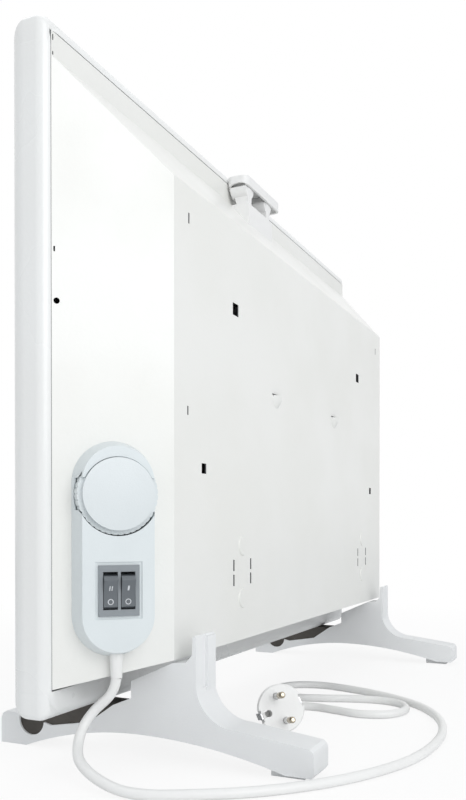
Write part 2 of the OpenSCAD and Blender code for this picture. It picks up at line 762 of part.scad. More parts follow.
module control_housing() {
    rim_r = knob_rim_d / 2 + 0.6;
    cap_r = knob_face_d / 2 + 0.5;
    face = housing_h - housing_wall;
    color(control_white) on_bevel() difference() {
        housing_form(0, housing_h);
        translate([0, 0, -eps]) housing_form(housing_wall, face);
        translate([0, knob_v, 2.4]) {
            cylinder(h = rim_top + 0.6 - 2.4, r = rim_r, $fn = 96);
            cylinder(h = housing_h, r = cap_r, $fn = 96);
            translate([-housing_w, -notch_h / 2, 1]) cube([2 * housing_w, notch_h, housing_h]);
            intersection() {
                cylinder(h = housing_h, r = rim_r, $fn = 96);
                translate([-housing_w, -housing_w, 0]) cube([2 * housing_w, housing_w, housing_h]);
            }
        }
        translate([0, -switch_v, 0]) {
            translate([-14.4, -17.4, housing_h - 0.8]) cube([28.8, 34.8, 2]);
            translate([-11.2, -14.2, housing_h - 6]) cube([22.4, 28.4, 10]);
        }
        translate([0.4, -housing_l / 2 - 1, 6])
            rotate([-90, 0, 0]) cylinder(h = 8, r = 4.3);
    }
}

module control_plate() {
    color(bright_steel) on_bevel() difference() {
        stadium(housing_l - 14, housing_w - 12.5, plate_t);
        translate([0, knob_v, -1]) cylinder(h = 4, r = 5.2);
        translate([-11.2, -switch_v - 14.2, -1]) cube([22.4, 28.4, 4]);
        for (s = [-1, 1]) {
            translate([0, s * plate_screw_v, -1]) cylinder(h = 4, r = 1.7);
            translate([s * 12, knob_v, -1]) cylinder(h = 4, r = 1.6, $fn = 24);
        }
    }
}

module control_screws() {
    color(bright_steel) on_bevel()
        for (s = [-1, 1]) translate([0, s * plate_screw_v, plate_t]) pan_screw(1.6, 3, 1, 7);
}

module thermostat_body() {
    color(ceramic) on_bevel(knob_v) difference() {
        union() {
            translate([-15, -16, -20]) cube([30, 32, 20]);
            cylinder(h = 2.2, r = 5);
            for (s = [-1, 1]) translate([s * 9 - 0.4, -12, -28]) cube([0.8, 6, 10]);
        }
        translate([0, 0, -9]) cylinder(h = 20, r = spindle_d / 2 + 0.08);
    }
}

module thermostat_spindle() {
    color(bright_steel) on_bevel(knob_v) difference() {
        translate([0, 0, -8.6]) cylinder(h = knob_top + 4, d = spindle_d);
        translate([spindle_d / 2 - 1, -5, 5]) cube([5, 10, 20]);
    }
}

module thermostat_knob() {
    r = knob_rim_d / 2;
    cap_r = knob_face_d / 2;
    dome = 0.9;
    dome_r = (cap_r * cap_r + dome * dome) / (2 * dome);
    color(control_white) on_bevel(knob_v) difference() {
        union() {
            translate([0, 0, 3]) cylinder(h = rim_top - 3, r = r, $fn = 80);
            translate([0, 0, 3]) cylinder(h = knob_top - 3 - dome, r = cap_r, $fn = 80);
            translate([0, 0, knob_top - dome])
                intersection() {
                    cylinder(h = dome + 1, r = cap_r, $fn = 80);
                    translate([0, 0, dome - dome_r]) sphere(r = dome_r, $fn = 160);
                }
        }
        difference() {
            translate([0, 0, 2]) cylinder(h = rim_top - 4, r = r - 3, $fn = 80);
            cylinder(h = 30, r = 7);
        }
        translate([0, 0, 2]) cylinder(h = knob_top - 6.5, d = spindle_d + 0.04);
        for (k = [0:39]) rotate([0, 0, k * 9])
            translate([r + 0.5, 0, 2]) cylinder(h = rim_top, r = 0.9, $fn = 13);
    }
    color(control_white) on_bevel(knob_v) intersection() {
        translate([spindle_d / 2 - 0.95, -2, 5]) cube([1.2, 4, knob_top - 10]);
        cylinder(h = knob_top, r = spindle_d / 2 + 0.1);
    }
}

module switch_case() {
    z0 = rocker_pivot - 20;
    color(switch_grey) on_bevel(-switch_v) difference() {
        union() {
            translate([-bezel_w / 2, -bezel_l / 2, housing_h - 0.8]) cube([bezel_w, bezel_l, 1.8]);
            translate([-11, -14, z0]) cube([22, 28, housing_h - z0]);
        }
        for (s = [-1, 1]) {
            translate([s * rocker_x - (rocker_w + 0.6) / 2, -rocker_l / 2, rocker_pivot - 6])
                cube([rocker_w + 0.6, rocker_l, 20]);
        }
        translate([0, 0, rocker_pivot])
            rotate([0, 90, 0]) cylinder(h = opening_w + 1.2, r = 1.3, center = true, $fn = 24);
    }
}

module rocker(s) {
    z = housing_h + 1 - rocker_pivot;
    l = rocker_l / 2 - 1.3;
    ridge = 0.8 * l;
    color(rocker_grey) on_bevel(-switch_v)
        translate([s * rocker_x, 0, rocker_pivot]) rotate([rocker_tilt, 0, 0]) {
            rotate([90, 0, 90]) linear_extrude(height = rocker_w, center = true)
                polygon([[0, z + 0.6], [ridge, z + 0.6 + ridge * tan(rocker_tilt)],
                         [l, z - 0.8], [l, 0], [4, -3], [-4, -3], [-l, 0],
                         [-l, z - 0.8], [-ridge, z + 0.6 + ridge * tan(rocker_tilt)]]);
            rotate([0, 90, 0])
                cylinder(h = rocker_w + 1.5, r = 1.2, center = true, $fn = 24);
        }
}

module rocker_one() {
    rocker(1);
}

module rocker_two() {
    rocker(-1);
}

module switch_terminals() {
    z0 = rocker_pivot - 20;
    color(brass) on_bevel(-switch_v)
        for (s = [-1, 1], k = [-1:1])
            translate([s * rocker_x - 2.4, k * 8 - 0.4, z0 - 8]) cube([4.8, 0.8, 8]);
}

// Tapered sleeve through the housing's lower end, with a collar inside it
module cord_gland() {
    out = sleeve_l;
    color(control_white) on_bevel(-housing_l / 2 + 1.3)
        translate([0.4, 0, 6]) rotate([-90, 0, 0]) {
            translate([0, 0, -out]) cylinder(h = out, r1 = cord_d / 2 + 0.4, r2 = 4.2);
            cylinder(h = 4, r = 4.2);
            translate([0, 0, 4]) cylinder(h = 1.5, r = 4.9);
        }
}

// Way of the mains lead from the sleeve to the plug: X and Y from the sleeve, Z from the floor
route = [[0, 0, 60], [0.9, -3.8, 49.4], [4.3, -13.6, 38.8], [10.6, -17.5, 29.4],
         [18.8, -15.4, 20.3], [28.5, -7.2, 14.2], [35.8, 7.5, 9], [38, 25.5, 4.4], [35.5, 44, 0],
         [25, 66, 0], [11, 88, 0], [-7, 109, 0], [-32, 130.5, 0], [-61, 148, 0], [-94, 161, 0],
         [-130, 167, 0], [-166, 167, 0], [-200, 161, 0], [-230, 149, 0], [-256, 131, 0],
         [-276, 107, 0], [-291, 80, 0], [-301, 53, 0], [-305, 28, 0], [-296, 6, 0],
         [-274.5, -3, 0], [-253, 6, 0], [-245, 28, 0], [-251, 51, 0], [-259, 73, 0],
         [-263, 96, 0], [-256, 116, 0], [-235, 125, 0], [-214, 116, 0], [-206, 95, 0],
         [-211, 73, 0], [-215, 52, 0], [-207, 33, 0], [-191, 24.5, 4.2], [-172, 30, 7.2]];
sleeve_x = casing_x - (housing_u + 0.4) * sin(near_angle) + 6 * cos(near_angle);
sleeve_y = seam_y + (housing_u + 0.4) * cos(near_angle) + 6 * sin(near_angle);
sleeve_z = panel_z + housing_z - housing_l / 2 + 1.3 - sleeve_l;
plug_turn = 36;
plug_rise = 14;
plug_roll = 20;
plug_l = 45;
plug_r = 18;
pin_gap = 19;

way = [for (i = [0:len(route) - 1])
        let (q = route[i], r = cord_d / 2)
        [sleeve_x + q[0], sleeve_y + q[1],
         i < 8 ? r + (q[2] - 3.2) * (sleeve_z - r) / 56.8 : q[2] == 0 ? r : q[2]]];
plug_at = way[len(way) - 1];
plug_way = [cos(plug_turn) * cos(plug_rise), sin(plug_turn) * cos(plug_rise), sin(plug_rise)];

function spline(a, b, c, d, t) =
    0.5 * (2 * b + (c - a) * t + (2 * a - 5 * b + 4 * c - d) * t * t
           + (3 * b - a - 3 * c + d) * t * t * t);

// Points along the lead, two for each step of its way, with a straight start and end
function lead_points(w) =
    let (n = len(w), first = w[0] + [0, 0, 15], last = w[n - 1] + plug_way * 22)
    [for (i = [0:n - 1]) each
        i == n - 1 ? [w[i]]
        : let (a = i == 0 ? first : w[i - 1], d = i == n - 2 ? last : w[i + 2])
          [for (t = [0, 0.5]) spline(a, w[i], w[i + 1], d, t)]];

function unit(v) = v / norm(v);

// Sweeps a round section along points, its first ring level and its last one square to the plug
module swept(pts, r, sides) {
    n = len(pts);
    dir = [for (i = [0:n - 1])
            i == 0 ? [0, 0, -1] : i == n - 1 ? plug_way : unit(pts[i + 1] - pts[i - 1])];
    side = [for (i = 0, s = [1, 0, 0]; i < n;
                 i = i + 1, s = i < n ? unit(s - dir[i] * (s * dir[i])) : s) s];
    rings = [for (i = [0:n - 1])
                let (u = unit(side[i] - dir[i] * (side[i] * dir[i])), v = cross(dir[i], u))
                each [for (k = [0:sides - 1])
                    pts[i] + r * (u * cos(360 * k / sides) + v * sin(360 * k / sides))]];
    walls = [for (i = [0:n - 2], k = [0:sides - 1])
                let (a = i * sides + k, b = i * sides + (k + 1) % sides) each
                [[a, b, b + sides], [a, b + sides, a + sides]]];
    ends = [for (k = [1:sides - 2]) each
                [[0, k + 1, k], [(n - 1) * sides, (n - 1) * sides + k, (n - 1) * sides + k + 1]]];
    polyhedron(points = rings, faces = concat([for (f = walls) [f[0], f[2], f[1]]],
                                              [for (f = ends) [f[0], f[2], f[1]]]));
}

module power_cord() {
    color(white_steel) swept(lead_points(way), cord_d / 2 - 0.02, 10);
}

// Lies along the plug, from the lead's end to the plug's face
module on_plug() {
    translate(plug_at) rotate([0, -plug_rise, plug_turn]) rotate([plug_roll, 0, 0]) children();
}

module plug_body() {
    r = plug_r;
    color(white_steel) on_plug() difference() {
        rotate([0, 90, 0]) rotate_extrude($fn = 64)
            polygon([[0, 0], [4, 0], [4.8, 9], [7, 14], [11.4, 19], [13.2, 24], [15.2, 33],
                     [r, plug_l - 2], [r, plug_l - 1], [r - 1, plug_l], [0, plug_l]]);
        for (s = [-1, 1]) {
            translate([plug_l - 16, s * (r + 1) - 3.6, -4.6]) cube([20, 7.2, 9.2]);
            translate([plug_l - 6, 0, s * pin_gap / 2])
                rotate([0, 90, 0]) cylinder(h = 8, r = 2.5, $fn = 32);
        }
        translate([plug_l - 10, 0, 0])
            translate([0, -10.2, 0]) rotate([0, 90, 0]) cylinder(h = 12, r = 2.5, $fn = 32);
        translate([plug_l - 3, -plug_r + 1, -2]) cube([4, plug_r - 11, 4]);
    }
}

module plug_pins() {
    color(brass) on_plug()
        for (s = [-1, 1]) translate([plug_l - 5.9, 0, s * pin_gap / 2]) rotate([0, 90, 0]) {
            cylinder(h = 15.9, r = 1.9, $fn = 32);
            translate([0, 0, 15.9]) cylinder(h = 7.4, r = 2.4, $fn = 32);
            translate([0, 0, 23.3]) cylinder(h = 1.6, r1 = 2.4, r2 = 1.2, $fn = 32);
        }
}

module pin_sleeves() {
    color(white_steel) on_plug()
        for (s = [-1, 1]) translate([plug_l - 5.9, 0, s * pin_gap / 2]) rotate([0, 90, 0])
            difference() {
                cylinder(h = 15.8, r = 2.2, $fn = 32);
                translate([0, 0, -1]) cylinder(h = 20, r = 1.95, $fn = 32);
            }
}

module earth_contacts() {
    color(bright_steel) on_plug()
        for (s = [-1, 1])
            translate([plug_l - 15.5, s * (plug_r - 2.1) - 0.5, -2.5]) cube([15, 1, 5]);
}

front_panel();
rear_casing();
corner_clips();
heat_shield();
element_tube(0);  // element_tube_one
element_tube(1);  // element_tube_two
element_fins();
element_bushes();
element_bracket(near_pad_x);  // near_bracket
element_bracket(far_pad_x);  // far_bracket
thermal_cutout();
terminal_block();
handle_base();
handle_grip();
handle_screws();
near_foot();
far_foot();
foot_seats();
foot_screws();
control_plate();
control_screws();
thermostat_body();
thermostat_spindle();
thermostat_knob();
control_housing();
switch_case();
rocker_one();
rocker_two();
switch_terminals();
cord_gland();
power_cord();
plug_body();
plug_pins();
pin_sleeves();
earth_contacts();
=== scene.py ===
import bpy
import bmesh
import math
from mathutils import Matrix, Vector


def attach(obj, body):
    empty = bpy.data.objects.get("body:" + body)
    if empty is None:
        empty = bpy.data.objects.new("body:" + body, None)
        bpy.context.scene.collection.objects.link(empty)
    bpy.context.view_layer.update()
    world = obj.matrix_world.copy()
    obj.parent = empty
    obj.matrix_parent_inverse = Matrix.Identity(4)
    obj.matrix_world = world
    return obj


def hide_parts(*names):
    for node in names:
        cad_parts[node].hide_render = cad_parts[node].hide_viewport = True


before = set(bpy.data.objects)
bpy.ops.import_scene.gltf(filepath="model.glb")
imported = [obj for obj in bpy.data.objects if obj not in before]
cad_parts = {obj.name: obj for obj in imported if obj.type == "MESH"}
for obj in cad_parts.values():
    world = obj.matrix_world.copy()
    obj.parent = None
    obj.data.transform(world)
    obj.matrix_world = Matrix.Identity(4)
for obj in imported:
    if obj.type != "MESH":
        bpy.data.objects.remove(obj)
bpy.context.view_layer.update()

# Camera of the photograph
# It stands behind the heater at the control end, 15 cm over the floor, and looks along the rear casing.
# The shift keeps the heater's uprights upright, as in the photograph.
eye = bpy.data.objects.new("camera", bpy.data.cameras.new("camera"))
bpy.context.scene.collection.objects.link(eye)
bpy.context.scene.camera = eye
eye.location = (0.7049, 0.2786, 0.1542)
eye.rotation_euler = (math.radians(89.55), 0, math.radians(114.92))
eye.data.lens = 37.21
eye.data.sensor_width = 36
eye.data.shift_x = 0.0014
eye.data.shift_y = 0.1636
eye.data.clip_start = 0.01

# Mains lead
# White PVC lead, 6.4 mm thick, that bows out from the sleeve under the control housing and lies in loose
# curves on the floor behind the heater, up to its plug. It replaces the plain tube of the source on its way.
# Its way is in millimetres from the sleeve's end, with heights over the floor. 0 says that it lies there.
lead_d = 0.0064
sleeve_end = Vector((0.271679, -0.001396, 0.0593))
lead_way = [(0, 0, 60), (0.9, -3.8, 49.4), (4.3, -13.6, 38.8), (10.6, -17.5, 29.4),
            (18.8, -15.4, 20.3), (28.5, -7.2, 14.2), (35.8, 7.5, 9), (38, 25.5, 4.4), (35.5, 44, 0),
            (25, 66, 0), (11, 88, 0), (-7, 109, 0), (-32, 130.5, 0), (-61, 148, 0), (-94, 161, 0),
            (-130, 167, 0), (-166, 167, 0), (-200, 161, 0), (-230, 149, 0), (-256, 131, 0),
            (-276, 107, 0), (-291, 80, 0), (-301, 53, 0), (-305, 28, 0), (-296, 6, 0),
            (-274.5, -3, 0), (-253, 6, 0), (-245, 28, 0), (-251, 51, 0), (-259, 73, 0),
            (-263, 96, 0), (-256, 116, 0), (-235, 125, 0), (-214, 116, 0), (-206, 95, 0),
            (-211, 73, 0), (-215, 52, 0), (-207, 33, 0), (-191, 24.5, 4.2), (-172, 30, 7.2)]
raised_points = 8
way_top = lead_way[0][2]
lying = lead_d / 2 * 1000
sleeve_run, plug_run = 0.015, 0.022
plug_turn, plug_rise = math.radians(36), math.radians(14)
plug_axis = Vector((math.cos(plug_turn) * math.cos(plug_rise),
                    math.sin(plug_turn) * math.cos(plug_rise), math.sin(plug_rise)))
lead_points = []
for i, (x, y, z) in enumerate(lead_way):
    if i < raised_points:
        z = lying + (z - lying) * (sleeve_end.z * 1000 - lying) / (way_top - lying)
    lead_points.append(Vector((sleeve_end.x + x / 1000, sleeve_end.y + y / 1000, (z or lying) / 1000)))
before = [lead_points[0] + Vector((0, 0, sleeve_run))] + lead_points[:-1]
after = lead_points[1:] + [lead_points[-1] + plug_axis * plug_run]

# Each point carries the lead's own radius, so that the curve's box is as tight as the lead.
lead_curve = bpy.data.curves.new("mains_lead", "CURVE")
lead_curve.dimensions = "3D"
lead_curve.bevel_depth = 1
lead_curve.bevel_resolution = 6
lead_curve.resolution_u = 8
lead_curve.use_fill_caps = True
spline = lead_curve.splines.new("BEZIER")
spline.bezier_points.add(len(lead_points) - 1)
for point, p, a, b in zip(spline.bezier_points, lead_points, before, after):
    point.radius = lead_d / 2
    point.handle_left_type = point.handle_right_type = "FREE"
    point.co = p
    point.handle_left = p - (b - a) / 6
    point.handle_right = p + (b - a) / 6
mains_lead = bpy.data.objects.new("mains_lead", lead_curve)
bpy.context.scene.collection.objects.link(mains_lead)
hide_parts("power_cord")
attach(mains_lead, "heater")


def new_finish(name, metal=0.0, coat=0.0):
    """Empty finish with the spots of the object that every grain below is laid out on."""
    m = bpy.data.materials.new(name)
    m.use_nodes = True
    nodes = m.node_tree.nodes
    skin = nodes["Principled BSDF"]
    skin.inputs["Metallic"].default_value = metal
    skin.inputs["Coat Weight"].default_value = coat
    skin.inputs["Coat Roughness"].default_value = 0.2
    place = nodes.new("ShaderNodeTexCoord")
    return m, nodes, m.node_tree.links.new, skin, place.outputs["Object"]


def clouds(nodes, link, place, size, low, high, detail=4):
    """Soft patches of that size in metres, as a value from 0 to 1 between two levels of the noise."""
    noise = nodes.new("ShaderNodeTexNoise")
    noise.inputs["Scale"].default_value = 1 / size
    noise.inputs["Detail"].default_value = detail
    link(place, noise.inputs["Vector"])
    spread = nodes.new("ShaderNodeMapRange")
    spread.interpolation_type = "SMOOTHSTEP"
    spread.inputs["From Min"].default_value = low
    spread.inputs["From Max"].default_value = high
    link(noise.outputs["Fac"], spread.inputs["Value"])
    return spread.outputs["Result"]


def two_tones(nodes, link, share, dark, light):
    """Colour that goes from dark to light with the share."""
    mix = nodes.new("ShaderNodeMix")
    mix.data_type = "RGBA"
    mix.inputs["A"].default_value = (*dark, 1)
    mix.inputs["B"].default_value = (*light, 1)
    link(share, mix.inputs["Factor"])
    return mix.outputs["Result"]


def gloss_between(nodes, link, share, low, high, skin):
    """Roughness that goes from low to high with the share."""
    level = nodes.new("ShaderNodeMapRange")
    level.inputs["To Min"].default_value = low
    level.inputs["To Max"].default_value = high
    link(share, level.inputs["Value"])
    link(level.outputs["Result"], skin.inputs["Roughness"])


def relief(nodes, link, height, depth, skin, strength=0.5):
    """Fine relief of that depth in metres."""
    bump = nodes.new("ShaderNodeBump")
    bump.inputs["Strength"].default_value = strength
    bump.inputs["Distance"].default_value = depth
    link(height, bump.inputs["Height"])
    link(bump.outputs["Normal"], skin.inputs["Normal"])


def soft_plastic(name, colour, rough, grain=0.0009, depth=0.00004, shade=0.03):
    """Moulded plastic: a fine matt grain, faint flow clouds and a slightly uneven gloss."""
    m, nodes, link, skin, place = new_finish(name)
    flow = clouds(nodes, link, place, 0.05, 0.3, 0.62)
    dark = [c * (1 - shade) for c in colour]
    link(two_tones(nodes, link, flow, dark, colour), skin.inputs["Base Color"])
    gloss_between(nodes, link, flow, rough * 1.12, rough * 0.9, skin)
    relief(nodes, link, clouds(nodes, link, place, grain, 0.25, 0.75, 2), depth, skin)
    return m


pvc_white = soft_plastic("pvc_white", (0.86, 0.86, 0.85), 0.4, 0.0015, 0.00004)
lead_curve.materials.append(pvc_white)


def dress(node, material, edge=0.0, segments=2, flat=False):
    """Gives a CAD node its finish and rounds its edges. A flat node gets its flat faces whole first."""
    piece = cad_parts[node]
    piece.data.materials.clear()
    piece.data.materials.append(material)
    piece.data.shade_smooth()
    joined = piece.modifiers.new("joined_faces", "WELD")
    joined.merge_threshold = 0.000001
    if flat:
        whole = piece.modifiers.new("whole_faces", "DECIMATE")
        whole.decimate_type = "DISSOLVE"
        whole.angle_limit = math.radians(1)
    if edge:
        soft = piece.modifiers.new("soft_edges", "BEVEL")
        soft.width = edge
        soft.segments = segments
        soft.limit_method = "ANGLE"
        soft.angle_limit = math.radians(30)
        even = piece.modifiers.new("even_light", "WEIGHTED_NORMAL")
        even.weight = 60
    return piece


# Plug
# Moulded white earthed plug with two round pins, sleeved at their roots, a round hole for an earth pin with
# an open slot beside it, and a sprung earth strip in a groove on each side.
plug_white = soft_plastic("plug_white", (0.87, 0.87, 0.86), 0.32, 0.0012, 0.00003)
for node in ("plug_body", "pin_sleeves"):
    dress(node, plug_white, 0.0004)


def drawn_metal(name, colour, rough, spangle, shade, streak=(1, 1, 1)):
    """Bare metal: crystals or drawn streaks of that size in metres, in tone, gloss and relief."""
    m, nodes, link, skin, place = new_finish(name, metal=1.0)
    stretch = nodes.new("ShaderNodeMapping")
    stretch.inputs["Scale"].default_value = streak
    link(place, stretch.inputs["Vector"])
    spots = clouds(nodes, link, stretch.outputs["Vector"], spangle, 0.32, 0.68, 6)
    dark = [c * (1 - shade) for c in colour]
    link(two_tones(nodes, link, spots, dark, colour), skin.inputs["Base Color"])
    gloss_between(nodes, link, spots, rough * 1.25, rough * 0.8, skin)
    relief(nodes, link, spots, 0.00002, skin, 0.35)
    return m


pin_brass = drawn_metal("pin_brass", (0.56, 0.5, 0.4), 0.28, 0.0012, 0.2)
dress("plug_pins", pin_brass, 0.0003)
spring_steel = drawn_metal("spring_steel", (0.56, 0.57, 0.58), 0.3, 0.0015, 0.2)
dress("earth_contacts", spring_steel, 0.0002)

# Front panel
# Pressed steel sheet with its edges rolled round to the rear and rows of lanced louvres near the top,
# enamelled in a clean satin white.


def enamel(name, colour, rough, peel, depth, dust):
    """Stoved enamel: a wavy skin like orange peel under a thin gloss, with a trace of dust in patches."""
    m, nodes, link, skin, place = new_finish(name, coat=0.3)
    film = clouds(nodes, link, place, 0.11, 0.3, 0.65)
    link(two_tones(nodes, link, film, dust, colour), skin.inputs["Base Color"])
    gloss_between(nodes, link, film, rough * 1.2, rough * 0.85, skin)
    relief(nodes, link, clouds(nodes, link, place, peel, 0.2, 0.8, 2), depth, skin)
    return m


panel_white = enamel("panel_white", (0.85, 0.86, 0.855), 0.3, 0.0024, 0.00006, (0.835, 0.84, 0.83))
panel = dress("front_panel", panel_white, 0.0003)

# Corners of the panel
# The rolled edges of the sheet run on to nearly square corners. Each is a solid of the same enamel over the
# rounder corner of the node, inside the panel's box, in layers from its face to its rear edge. It sinks in
# by a hair where it meets the panel, so that no step shows.
panel_box = [panel.matrix_world @ Vector(c) for c in panel.bound_box]
panel_ends = [pick(c.x for c in panel_box) for pick in (min, max)]
panel_levels = [pick(c.z for c in panel_box) for pick in (min, max)]
panel_rear = max(c.y for c in panel_box)
panel_t, front_roll, rear_roll = 0.032, 0.016, 0.008
sheet_corner, square_corner = 0.018, 0.004
side_edge, top_edge = 0.0054, 0.009
corner_sink = 0.00015
corner_wall = 0.0005
rear_step = 0.001
arc_steps, front_steps, rear_steps = 8, 12, 8


def drawn_in(depth):
    """How far the rolled edge lies inside the panel's outline at a depth behind its face."""
    if depth < front_roll:
        return front_roll - math.sqrt(front_roll ** 2 - (front_roll - depth) ** 2)
    past = max(0, depth - panel_t + rear_roll)
    return rear_roll - math.sqrt(rear_roll ** 2 - past ** 2)


def corner_layer(depth):
    """Outline of a corner at a depth: its top, its tight corner, its end, and back inside."""
    inset = drawn_in(depth)
    r = min(square_corner, (sheet_corner - inset) / 2)
    arc = [math.pi / 2 * k / arc_steps for k in range(arc_steps + 1)]
    outside = [(inset + r * (1 - math.sin(a)), inset + r * (1 - math.cos(a))) for a in arc]
    blend = sheet_corner - (sheet_corner - inset - r) * 0.3
    inner = max(inset + corner_wall, side_edge)
    return ([(sheet_corner, inset + corner_sink), (blend, inset)] + outside
            + [(inset, blend), (inset + corner_sink, sheet_corner), (inner, sheet_corner),
               (inner, max(inner, top_edge)), (sheet_corner, max(inner, top_edge))])


front_layers = [front_roll * (1 - math.cos(math.pi / 2 * k / front_steps)) for k in range(front_steps + 1)]
rear_layers = [panel_t - rear_roll + (rear_roll - rear_step) * k / rear_steps for k in range(rear_steps + 1)]
for end, panel_end in zip((-1, 1), panel_ends):
    for rise, panel_level in zip((-1, 1), panel_levels):
        shell = bmesh.new()
        layers = []
        for depth in front_layers + rear_layers:
            y = panel_rear - panel_t + depth
            layers.append([shell.verts.new((panel_end - end * x, y, panel_level - rise * z))
                           for x, z in corner_layer(depth)])
        shell.faces.new(layers[0])
        shell.faces.new(layers[-1])
        for near, far in zip(layers, layers[1:]):
            for k in range(len(near)):
                m = (k + 1) % len(near)
                shell.faces.new((near[k], near[m], far[m], far[k]))
        bmesh.ops.recalc_face_normals(shell, faces=shell.faces)
        corner_mesh = bpy.data.meshes.new("panel_corner")
        shell.to_mesh(corner_mesh)
        shell.free()
        corner_mesh.shade_smooth()
        corner_mesh.materials.append(panel_white)
        name = ("near" if end > 0 else "far") + ("_top" if rise > 0 else "_bottom") + "_panel_corner"
        corner = bpy.data.objects.new(name, corner_mesh)
        bpy.context.scene.collection.objects.link(corner)
        crease = corner.modifiers.new("crease", "EDGE_SPLIT")
        crease.split_angle = math.radians(50)
        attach(corner, "heater")

# Rear casing
# Folded steel sheet with lanced pockets, hook holes and embossed pads, in the same enamel, a little warmer
# and flatter than the panel's. The enamel is on its outside. Its inside and its cut edges are bare sheet,
# coloured far darker than bare zinc as painted shade.
casing_white = enamel("casing_white", (0.843, 0.845, 0.822), 0.38, 0.002, 0.00008, (0.823, 0.825, 0.795))
nodes, link = casing_white.node_tree.nodes, casing_white.node_tree.links.new
casing_skin = nodes["Principled BSDF"]
enamelled = casing_skin.inputs["Base Color"].links[0].from_socket

# The outside is whatever faces the rear, towards the main lamp. Every other face gets a near-black grey:
# bare sheet darkened as painted shade.
face_way = nodes.new("ShaderNodeSeparateXYZ")
link(nodes.new("ShaderNodeNewGeometry").outputs["True Normal"], face_way.inputs[0])
inside = nodes.new("ShaderNodeMath")
inside.operation = "LESS_THAN"
inside.inputs[1].default_value = 0.1
link(face_way.outputs["Y"], inside.inputs[0])
# Near-black grey for the inside and the edges: bare sheet, with painted shade on top of it.
bare_and_painted_shade = nodes.new("ShaderNodeMix")
bare_and_painted_shade.data_type = "RGBA"
bare_and_painted_shade.inputs["B"].default_value = (0.16, 0.165, 0.17, 1)
link(inside.outputs[0], bare_and_painted_shade.inputs["Factor"])
link(enamelled, bare_and_painted_shade.inputs["A"])
link(bare_and_painted_shade.outputs["Result"], casing_skin.inputs["Base Color"])
dress("rear_casing", casing_white, 0.0003)

# Inner sheet pieces
# Bare zinc-coated steel: the heat shield, the clips, the element's brackets and the control plate.
zinc = drawn_metal("zinc", (0.5, 0.51, 0.53), 0.42, 0.006, 0.25)
for node in ("heat_shield", "corner_clips", "near_bracket", "far_bracket", "control_plate"):
    dress(node, zinc)

# Heating elements
# Two steel tubes, browned by heat, through one row of pressed aluminium fins, held in ceramic bushes. The
# thermal cut-out, the terminal block and the thermostat's case are ceramic too.
tube_steel = drawn_metal("tube_steel", (0.26, 0.22, 0.2), 0.45, 0.01, 0.35)
fin_aluminium = drawn_metal("fin_aluminium", (0.68, 0.69, 0.71), 0.34, 0.002, 0.12, (1, 1, 0.1))
for node in ("element_tube_one", "element_tube_two"):
    dress(node, tube_steel)
dress("element_fins", fin_aluminium)
steatite = soft_plastic("steatite", (0.76, 0.72, 0.62), 0.7, 0.0012, 0.00008, 0.1)
for node in ("element_bushes", "thermal_cutout", "terminal_block", "thermostat_body"):
    dress(node, steatite, 0.0004)
for node in ("thermostat_spindle", "handle_screws", "foot_screws", "control_screws"):
    dress(node, zinc, 0.0002)
dress("switch_terminals", pin_brass, 0.0001)

# Carry handle
# Moulded channel grip on two legs that flare under it, with a base block screwed to the slope of the casing
# from inside.
handle_white = soft_plastic("handle_white", (0.86, 0.86, 0.855), 0.42)
dress("handle_grip", handle_white, 0.0010, 3)
dress("handle_base", handle_white, 0.0005, 2)

# Feet
# Two hollow moulded feet in pale grey-white plastic with a fine grain and rounded edges. Each is screwed to
# the panel's bottom from below, over a seat coloured near black as painted shadow under the panel, and its
# tongue stands against the back wall.
foot_white = soft_plastic("foot_white", (0.84, 0.85, 0.855), 0.46, 0.0011, 0.00006)
for node in ("near_foot", "far_foot"):
    dress(node, foot_white, 0.003, 4, flat=True)
# The seats' near-black colour is painted shadow in the gap under the panel.
seat_rubber = soft_plastic("seat_rubber", (0.075, 0.068, 0.06), 0.75, 0.0014, 0.0001, 0.3)
dress("foot_seats", seat_rubber, 0.0006, flat=True)

# Control unit
# Moulded housing with the thermostat's knob behind a hood and the twin switch in a shallow recess, and a
# tapered sleeve for the lead.
control_white = soft_plastic("control_white", (0.72, 0.77, 0.785), 0.4)
dress("control_housing", control_white, 0.0009, 3)
knob_white = soft_plastic("knob_white", (0.71, 0.755, 0.77), 0.36)
dress("thermostat_knob", knob_white, 0.0006, 3)
dress("cord_gland", pvc_white, 0.0003)
bezel_grey = soft_plastic("bezel_grey", (0.255, 0.28, 0.3), 0.42, shade=0.06)
dress("switch_case", bezel_grey, 0.0003)
rocker_grey = soft_plastic("rocker_grey", (0.13, 0.145, 0.16), 0.3, shade=0.08)
for node in ("rocker_one", "rocker_two"):
    dress(node, rocker_grey, 0.0004)

# Rocker marks
# White printed signs: one or two strokes for the heat step on the upper half of a rocker, and a ring for off
# on its lower half. They lie on the rockers' faces and turn with them.
bevel_foot = (0.2943, -0.033, 0.114)
bevel_turn = math.atan2(54, 55)
switch_reach = 0.038
switch_frame = (Matrix.Translation(bevel_foot) @ Matrix.Rotation(bevel_turn, 4, "Z")
                @ Matrix.Translation((0, switch_reach, 0)) @ Matrix.Rotation(math.pi / 2, 4, "Z")
                @ Matrix.Rotation(math.pi / 2, 4, "X"))
rocker_side, pivot_out, face_out = 0.0054, 0.010, 0.0076
rocker_tilt = face_slope = math.radians(10)
mark_white, n, link, skin, place = new_finish("mark_white")
ink = clouds(n, link, place, 0.0008, 0.3, 0.6)
link(two_tones(n, link, ink, (0.5, 0.52, 0.54), (0.66, 0.68, 0.7)), skin.inputs["Base Color"])
gloss_between(n, link, ink, 0.6, 0.5, skin)
mark_t = 0.00005
stroke_y, stroke_h, stroke_slant, stroke_gap = 0.0032, 0.003, 0.0001, 0.0014
stroke_w = {1: 0.0011, 2: 0.0006}
ring_y, ring_outer, ring_inner, ring_steps = -0.0053, 0.0018, 0.0013, 40


